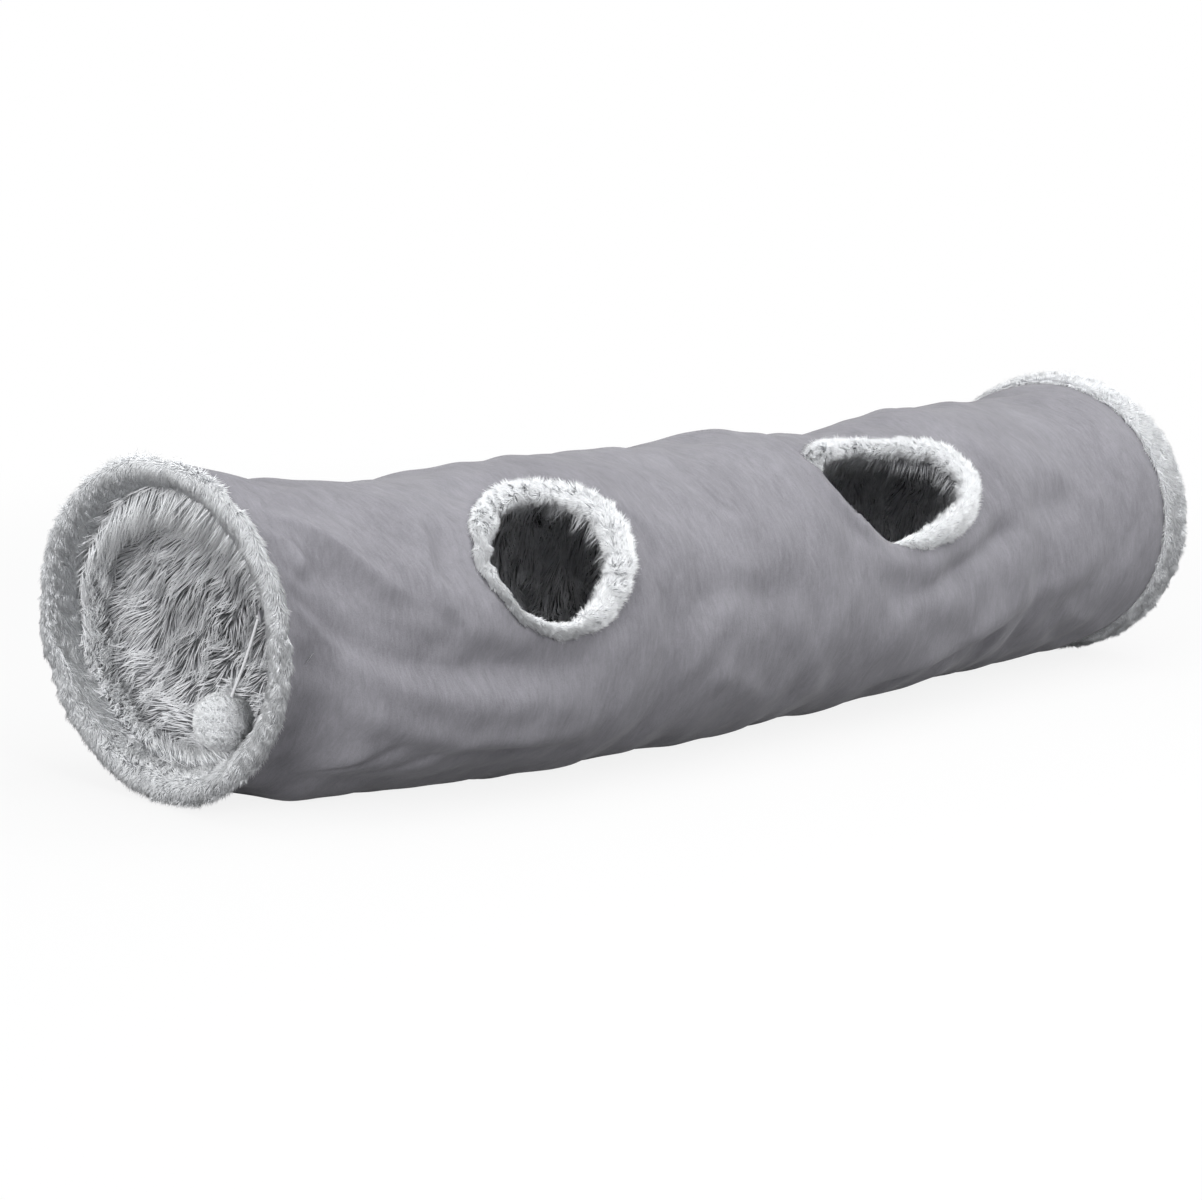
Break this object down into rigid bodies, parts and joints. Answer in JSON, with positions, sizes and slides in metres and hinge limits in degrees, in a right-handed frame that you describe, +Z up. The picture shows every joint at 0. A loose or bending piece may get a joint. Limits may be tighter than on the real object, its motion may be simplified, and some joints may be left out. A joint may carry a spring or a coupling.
{
  "type": "plush cat tunnel",
  "caption": "Soft play tunnel for a cat: suede-look cloth tube on wire hoops, with plush lining and trims, side windows and a pompom on a cord.",
  "frame": {"origin": "middle of the bounding box on the floor", "axes": "+X along the tunnel from the near mouth to the far mouth, +Z up; the windows face -Y and up"},
  "size_m": [1.2158, 0.3574, 0.3045],
  "materials": {
    "suede_cloth": "brushed suede-look cloth, matt",
    "long_plush": "long pile plush, about 25 mm",
    "trim_plush": "short dense plush",
    "casing_tape": "woven tape",
    "cord_yarn": "twisted cotton cord",
    "pompom_fur": "fluffy plush ball",
    "spring_steel": "drawn spring wire"
  },
  "bodies": {
    "near_mouth": {"near_mouth_wire": "spring_steel", "near_mouth_ferrule": "spring_steel", "near_mouth_trim": "trim_plush", "cord_tab": "casing_tape", "bay_1_shell": "suede_cloth", "bay_1_lining": "long_plush", "near_window_trim": "trim_plush"},
    "hoop_1": {"hoop_1_wire": "spring_steel", "hoop_1_ferrule": "spring_steel", "hoop_1_casing": "casing_tape", "bay_2_shell": "suede_cloth", "bay_2_lining": "long_plush"},
    "hoop_2": {"hoop_2_wire": "spring_steel", "hoop_2_ferrule": "spring_steel", "hoop_2_casing": "casing_tape", "bay_3_shell": "suede_cloth", "bay_3_lining": "long_plush", "far_window_trim": "trim_plush"},
    "hoop_3": {"hoop_3_wire": "spring_steel", "hoop_3_ferrule": "spring_steel", "hoop_3_casing": "casing_tape", "bay_4_shell": "suede_cloth", "bay_4_lining": "long_plush"},
    "far_mouth": {"far_mouth_wire": "spring_steel", "far_mouth_ferrule": "spring_steel", "far_mouth_trim": "trim_plush"},
    "cord_knot": {"cord_knot": "cord_yarn"},
    "pompom": {"pompom_cord": "cord_yarn", "pompom": "pompom_fur"}
  },
  "joints": [
    {"name": "hoop_1_slide", "type": "slide", "parent": "near_mouth", "child": "hoop_1", "axis": [-0.9716, 0.2343, 0.0338], "range_m": [0, 0.3241], "deforming": ["bay_1_shell", "bay_1_lining", "near_window_trim"]},
    {"name": "hoop_2_slide", "type": "slide", "parent": "hoop_1", "child": "hoop_2", "axis": [-0.9996, -0.0284, 0], "range_m": [0, 0.2188], "deforming": ["bay_2_shell", "bay_2_lining"]},
    {"name": "hoop_3_slide", "type": "slide", "parent": "hoop_2", "child": "hoop_3", "axis": [-0.9918, -0.128, 0], "range_m": [0, 0.279], "deforming": ["bay_3_shell", "bay_3_lining", "far_window_trim"]},
    {"name": "far_mouth_slide", "type": "slide", "parent": "hoop_3", "child": "far_mouth", "axis": [-0.9983, -0.0206, -0.0553], "range_m": [0, 0.1979], "deforming": ["bay_4_shell", "bay_4_lining"]},
    {"name": "pompom_fore_aft", "type": "hinge", "parent": "near_mouth", "child": "cord_knot", "pos_m": [-0.53557, -0.08063, 0.18314], "axis": [-0.2453, 0.9694, 0], "range_deg": [-70, 70]},
    {"name": "pompom_side_swing", "type": "hinge", "parent": "cord_knot", "child": "pompom", "pos_m": [-0.53557, -0.08063, 0.18314], "axis": [0.9694, 0.2453, 0], "range_deg": [0, 80]}
  ],
  "couplings": [
    {"joint": "hoop_2_slide", "follows": "hoop_1_slide", "ratio": 0.6751},
    {"joint": "hoop_3_slide", "follows": "hoop_1_slide", "ratio": 0.86084},
    {"joint": "far_mouth_slide", "follows": "hoop_1_slide", "ratio": 0.61061}
  ]
}
